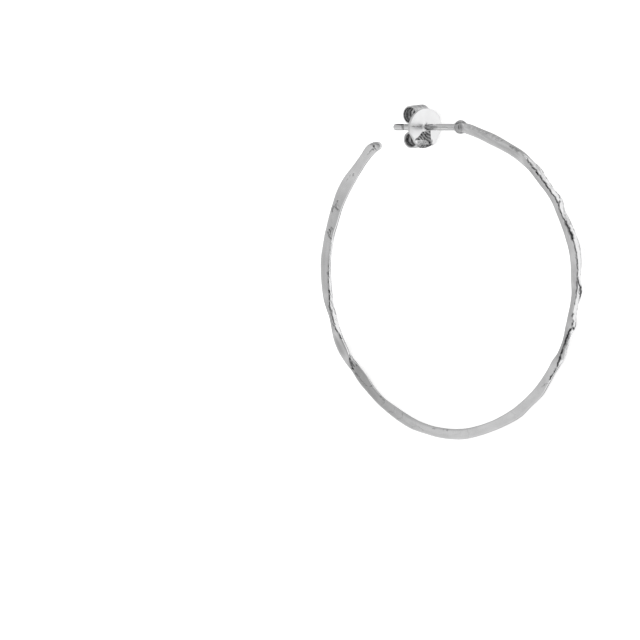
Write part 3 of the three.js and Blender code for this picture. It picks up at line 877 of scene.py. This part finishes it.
# Painted reflection on the folds: how dark its stripes are, and how much they ripple with the
# folds.
FOLDS_PAINTED_REFLECTION = 0.66
FOLDS_REFLECTION_RIPPLE = 0.14
# Painted shade on the bent strip, a grey that stands in for what the strip reflects, and how much
# more of it lies at the strip's edge, which is given in millimetres past the start of the bend.
BENT_SHADE_SPAN = (-1.6, -1.4, 2.0, 2.4)
BENT_SHADE_DARK = 0.44
BENT_EDGE_SHADE = 0.24
STRIP_EDGE = (0.66, 0.86)
# A painted reflection of the post beside the hole, as a thin dashed dark line: its distance across
# at the hole, its slope, and its half width.
POST_REFLECTION_ACROSS = 0.08
POST_REFLECTION_SLOPE = 0.07
POST_REFLECTION_HALF = 0.06
POST_REFLECTION_SPAN = (0.9, 1.1, 3.5, 3.7)
POST_REFLECTION_DARK = 0.62
# Painted shade of the dark gap at the strip's corner: middle and half size along the hoop's axis
# and across it.
GAP_SHADE_MIDDLE = (-0.85, -2.25)
GAP_SHADE_HALF = (0.35, 0.22)


def window(value, start, full, fading, end):
    """0 before start, 1 from full to fading, 0 after end, and smooth between them."""
    return soft(value, start, full) * (1 - soft(value, fading, end))


def fold_patch(y, z):
    """How much of the forming folds lies at a place on the plate. They fill the strip between
    the collar and the bend of the lower wing, and thin out to one side."""
    top = np.interp(z, *zip(*FOLDS_TOP))
    low = np.interp(z, *zip(*FOLDS_BOTTOM))
    return window(z, *FOLDS_SPAN) * soft(top - y, -0.06, 0.12) * soft(y - low, -0.04, 0.10)


def plate_surface():
    """A closed outline of the sheet carried round the hole. Near the hole it is a circle about
    the post, and at the rim it is the plate's oval, with a smooth change between them."""
    half = PLATE_SHEET / 2
    face = np.linspace(0, 1, FACE_STEPS)[1:-1]
    rim = np.linspace(math.pi / 2, -math.pi / 2, RIM_STEPS)
    # share: 0 at the collar's foot, 1 at the rim. off: distance from the sheet's back.
    # push: how far the rim is drawn in, for its rounded edges.
    flare = np.linspace(0, 1, THROAT_STEPS)
    throat = THROAT_SHARE * (flare - 1)
    front = PLATE_SHEET + COLLAR_HEIGHT * (1 - flare) ** 2
    back_to_start = [0.0, throat[0], throat[0]]
    share = np.concatenate([throat, face, 1 + 0 * rim, face[::-1], back_to_start])
    off = np.concatenate([
        front,
        PLATE_SHEET + 0 * face,
        half + half * np.sign(np.sin(rim)) * np.abs(np.sin(rim)) ** RIM_POWER,
        0 * face,
        [0.0, 0.0, PLATE_SHEET + COLLAR_HEIGHT],
    ])
    push = np.concatenate([
        0 * throat,
        0 * face,
        PLATE_EDGE_ROUND * (np.abs(np.cos(rim)) ** RIM_POWER - 1),
        0 * face,
        [0.0, 0.0, 0.0],
    ])
    share, off, push = (value[:, None] for value in (share, off, push))
    turn = np.linspace(0, 2 * math.pi, PLATE_SIDES + 1)[None, :]
    inner = COLLAR_RADIUS + (COLLAR_RADIUS - HOLE_RADIUS) / THROAT_SHARE * np.minimum(share, 0)
    outside = np.maximum(share, 0)
    y = inner * np.cos(turn)
    z = inner * np.sin(turn)
    y = y + outside * ((PLATE_ACROSS / 2 - COLLAR_RADIUS) * np.cos(turn) - PLATE_DROP)
    z = z + outside * (PLATE_ALONG_HOOP_AXIS / 2 - COLLAR_RADIUS) * np.sin(turn)
    y = y + push * np.cos(turn)
    z = z + push * np.sin(turn)
    z = z * (1 - PLATE_TAPER * soft(-y, *TAPER_SPAN) * outside)
    patch = fold_patch(y, z)
    run = FOLD_WAY[0] * z + FOLD_WAY[1] * y + FOLD_WAVER * np.sin(1.9 * z + y)
    phase = run * 2 * math.pi / FOLD_SPACING
    folds = FOLD_DEPTH * patch * np.sin(phase)
    strip = 1 - soft(np.abs(z), STRIP_HALF, STRIP_HALF + STRIP_SIDE)
    bent = np.maximum(-y - BEND_START, 0)
    bend = strip * BEND_RADIUS * (1 - np.cos(bent / BEND_RADIUS))
    drop = strip * (bent - BEND_RADIUS * np.sin(bent / BEND_RADIUS))
    dents = PLATE_DENTS * (np.sin(2.3 * y + 1.1 * z + 1) + np.sin(3.1 * z - 1.7 * y))
    x = ear_face_x - PLATE_SHEET + off + folds - bend + dents * soft(outside, 0, 0.2)
    points = np.stack([x, ball_y + y + drop, z + 0 * y], axis=2)
    along = np.cumsum(np.concatenate([[0], np.abs(np.diff(share[:, 0])) * TEXTURE_REACH]))[:, None]
    streaks = 1 + 0.5 * np.sin(9 * z + 5 * y) + 0.3 * np.sin(17 * z - 3 * y)
    # Painted shade on the bent strip.
    dimming = BENT_SHADE_DARK + BENT_EDGE_SHADE * soft(bent, *STRIP_EDGE) * streaks
    dimming = dimming * window(z, *BENT_SHADE_SPAN) * soft(bent, 0.0, 0.2)
    # Painted reflection of the post, as a thin dashed dark line.
    post_reflection_half = POST_REFLECTION_HALF + 0.02 * np.sin(5 * z)
    post_reflection = np.exp(-((y - POST_REFLECTION_ACROSS - POST_REFLECTION_SLOPE * z) / post_reflection_half) ** 2)
    post_reflection = post_reflection * window(z, *POST_REFLECTION_SPAN) * (POST_REFLECTION_DARK + 0.12 * np.sin(7 * z))
    # Painted shade at the strip's corner.
    aside = ((z - GAP_SHADE_MIDDLE[0]) / GAP_SHADE_HALF[0]) ** 2 + ((y - GAP_SHADE_MIDDLE[1]) / GAP_SHADE_HALF[1]) ** 2
    # Painted shade and painted reflections on the plate's front: the folds' stripes, the bent
    # strip, the strip's corner and the post's line.
    painted_shade = np.maximum(patch * (FOLDS_PAINTED_REFLECTION + FOLDS_REFLECTION_RIPPLE * np.sin(phase)), dimming)
    painted_shade = np.maximum(painted_shade, np.exp(-aside))
    painted_shade = np.maximum(painted_shade, post_reflection)
    oxide_and_painted_shade = painted_shade * (off > half)
    return points, along + 0 * turn, COLLAR_RADIUS * turn + 0 * share, oxide_and_painted_shade


polished_silver = silver(
    "polished_silver",
    bright=(0.95, 0.95, 0.955, 1),
    dull=(0.91, 0.91, 0.915, 1),
    smooth=0.28,
    rough=0.42,
    brushed=0.35,
    pitted=0.12,
)

points, along, around, oxide_and_painted_shade = plate_surface()
plate = new_piece("clutch_plate", points, along, around, oxide_and_painted_shade, loop=True)
plate.data.materials.append(polished_silver)
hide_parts("butterfly_clutch")
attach(plate, "clutch")

# The clutch's wings
#
# The strip's two ends are bent back from the plate and rolled inwards until they press on the
# post from both sides. They are springs, and their grip holds the clutch where it is pushed.

WING_WIDTH = 3.1
WING_END_WIDTH = 2.7
UPPER_WING_REACH = 3.08
LOWER_WING_REACH = 2.88
UPPER_WING_SQUASH = 0.95
LOWER_WING_SQUASH = 1.05
WING_SHEET = 0.28
WING_TIGHTEN = 0.2
WING_START = 170
WING_TURN = 395
WING_CLEARANCE = 0.08
WING_SQUARENESS = 6
WING_PAINTED_SHADE = 0.54
WING_PAINTED_BANDS = 0.28
WING_OUTER_SHADE = 0.16
WING_STEPS = 220
WING_EDGE_STEPS = 40


def wing_surface(reach, squash, side):
    """A strip carried along a roll. The roll's radius shrinks evenly with its angle, from the
    back of the plate over the top, round the back, in to the post and up inside itself. The
    strip's section is a rectangle with rounded corners."""
    reach = reach - WING_SHEET / 2
    near_post = POST_RADIUS + WING_CLEARANCE + WING_SHEET / 2

    def tighten(angle):
        return 1 - WING_TIGHTEN * (WING_START - angle) / 180

    top_radius = (reach - near_post) / (1 + tighten(-90) / tighten(90))
    first_radius = top_radius / tighten(90)
    angle = np.linspace(WING_START, WING_START - WING_TURN, WING_STEPS)[:, None]
    radius = first_radius * tighten(angle)
    turn = np.linspace(0, 2 * math.pi, WING_EDGE_STEPS + 1)[None, :]
    width = WING_WIDTH + (WING_END_WIDTH - WING_WIDTH) * (WING_START - angle) / WING_TURN
    straight = width / 2 - WING_SHEET / 2
    thin = np.abs(np.sin(turn)) ** WING_SQUARENESS + np.abs(np.cos(turn)) ** WING_SQUARENESS
    thin = thin ** (-1 / WING_SQUARENESS)
    off = WING_SHEET / 2 * thin * np.sin(turn)
    wide = np.clip(1.9 * np.cos(turn), -1, 1) * straight + WING_SHEET / 2 * thin * np.cos(turn)
    lean = np.radians(angle)
    x = -squash * first_radius - (radius + off) * squash * np.cos(lean)
    y = reach - top_radius + (radius + off) * np.sin(lean)
    points = np.stack([
        ear_face_x - PLATE_SHEET + x, ball_y + side * y, side * wide + 0 * x,
    ], axis=2)
    along = np.radians(WING_START - angle) * first_radius + 0 * turn
    around = WING_WIDTH / math.pi * turn + 0 * angle
    # Painted shade lies inside the roll and over its rolled-in end, where shade falls, crossed by
    # lighter bands of painted reflection, and a wavy painted shade lies on the outer side.
    inner = soft(-np.sin(turn), -0.1, 0.5) * soft(WING_START - angle, 10, 60)
    rolled_in = soft(WING_START - angle, 260, 330)
    bands = WING_PAINTED_BANDS * np.sin(7.5 * wide + 0.35 * along + 1.2)
    oxide_and_painted_shade = np.maximum(inner, 0.8 * rolled_in) * (WING_PAINTED_SHADE + bands)
    outer = WING_OUTER_SHADE * (1 - inner) * (1 + np.sin(6 * wide + 0.8 * along))
    oxide_and_painted_shade = np.maximum(oxide_and_painted_shade, outer)
    return points, along, around, oxide_and_painted_shade


for name, reach, squash, side in (
    ("clutch_upper_wing", UPPER_WING_REACH, UPPER_WING_SQUASH, 1),
    ("clutch_lower_wing", LOWER_WING_REACH, LOWER_WING_SQUASH, -1),
):
    points, along, around, oxide_and_painted_shade = wing_surface(reach, squash, side)
    wing = new_piece(name, points, along, around, oxide_and_painted_shade)
    wing.data.materials.append(polished_silver)
    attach(wing, "clutch")

# The table and the light
#
# A plain white table under a soft studio light. The table glows a little, so that it stays white
# where the earring shades it. The polished silver shows what stands round it: grey walls, a
# white card, and the dark of the room behind the camera.

FLOOR_HALF = 6.0
FLOOR_COLOUR = (0.90, 0.90, 0.90, 1)
FLOOR_GLOW = 0.55

# The room's walls: their tone by the camera, how much lighter they get with each radian away
# from it and up to where, and how far the dark spreads round the camera.
WALL_NEAR = 0.24
WALL_RISE = 0.27
WALL_END = 1.3
DARK_SPREAD = 0.34
# The walls darken towards the post, up to FRONT_REACH, and grow lighter away from it. They are
# darker again far from the post and far to the left, setting in between a pair of values.
FRONT_LOSS = 0.18
FRONT_REACH = 0.45
BACK_LOSS = 0.15
BACK_EDGE = (0.62, 0.95)
SIDE_LOSS = 0.12
SIDE_EDGE = (0.65, 0.97)
# A white card low on the right: its edges by height, by side and by radians from the camera.
LOW_WHITE = 0.97
LOW_HEIGHT = (0.05, 0.45)
LOW_SIDE = (0.3, 0.7)
LOW_TURN = (0.39, 0.65)
# What the silver shows below the horizon: grey on the left and white on the right, along a
# slanting edge.
LOW_GREY = 0.42
TABLE_SKEW = 0.22
TABLE_EDGE = (-0.08, 0.22)
HORIZON = (-0.12, 0.08)

SOFTBOX_SIZE = 1.6
SOFTBOX_HEIGHT = 1.4
SOFTBOX_POWER = 8.0

floor_z = float(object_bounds()[0].z)
floor_mesh = bpy.data.meshes.new("floor")
floor_corners = [(-1, -1), (1, -1), (1, 1), (-1, 1)]
floor_mesh.from_pydata(
    [(FLOOR_HALF * x, FLOOR_HALF * y, floor_z) for x, y in floor_corners], [], [(0, 1, 2, 3)],
)
floor = bpy.data.objects.new("floor", floor_mesh)
bpy.context.scene.collection.objects.link(floor)
floor_paint = bpy.data.materials.new("floor_paint")
floor_paint.use_nodes = True
floor_shader = floor_paint.node_tree.nodes["Principled BSDF"]
floor_shader.inputs["Base Color"].default_value = FLOOR_COLOUR
floor_shader.inputs["Roughness"].default_value = 1.0
floor_shader.inputs["Specular IOR Level"].default_value = 0.0
floor_shader.inputs["Emission Color"].default_value = (1, 1, 1, 1)
floor_shader.inputs["Emission Strength"].default_value = FLOOR_GLOW
floor_mesh.materials.append(floor_paint)
floor.visible_glossy = False

world = bpy.data.worlds.new("studio")
bpy.context.scene.world = world
world.use_nodes = True
background = world.node_tree.nodes["Background"]
start = Node(world.node_tree, None)
direction = start.add("ShaderNodeTexCoord", out=0)


def towards(vector):
    """How far the direction of the ray agrees with a vector, from -1 to 1."""
    vector = tuple(float(v) for v in vector)
    return start.add(
        "ShaderNodeVectorMath", {"operation": "DOT_PRODUCT"}, out=1, _0=direction, _1=vector,
    )


roll = math.radians(POST_ROLL)
to_camera = towards(axes @ back)
to_post = towards(axes @ [-math.sin(roll), math.cos(roll), 0])
to_right = towards(axes @ [math.cos(roll), math.sin(roll), 0])
height = towards(axes @ [0, 0, 1])
from_camera = start.math("ARCCOSINE", to_camera)
walls = WALL_NEAR + WALL_RISE * start.math("MINIMUM", from_camera, WALL_END)
walls = walls * from_camera.step(0.0, DARK_SPREAD)
walls = walls - FRONT_LOSS * start.math("MINIMUM", to_post, FRONT_REACH)
walls = walls - BACK_LOSS * (0 - to_post).step(*BACK_EDGE)
walls = walls - SIDE_LOSS * (0 - to_right).step(*SIDE_EDGE)
low_right = (1 - height.step(*LOW_HEIGHT)) * to_right.step(*LOW_SIDE)
low_right = low_right * from_camera.step(*LOW_TURN)
walls = walls + (LOW_WHITE - walls) * low_right
table = LOW_GREY + (LOW_WHITE - LOW_GREY) * (to_right - TABLE_SKEW * to_post).step(*TABLE_EDGE)
sky = table + (walls - table) * height.step(*HORIZON)
world.node_tree.links.new(sky.socket, background.inputs["Strength"])
background.inputs["Color"].default_value = (1, 1, 1, 1)

softbox = bpy.data.lights.new("softbox", "AREA")
softbox.shape = "DISK"
softbox.size = SOFTBOX_SIZE
softbox.energy = SOFTBOX_POWER
softbox_holder = bpy.data.objects.new("softbox", softbox)
softbox_holder.location = (0, 0, SOFTBOX_HEIGHT)
softbox_holder.visible_glossy = False
bpy.context.scene.collection.objects.link(softbox_holder)
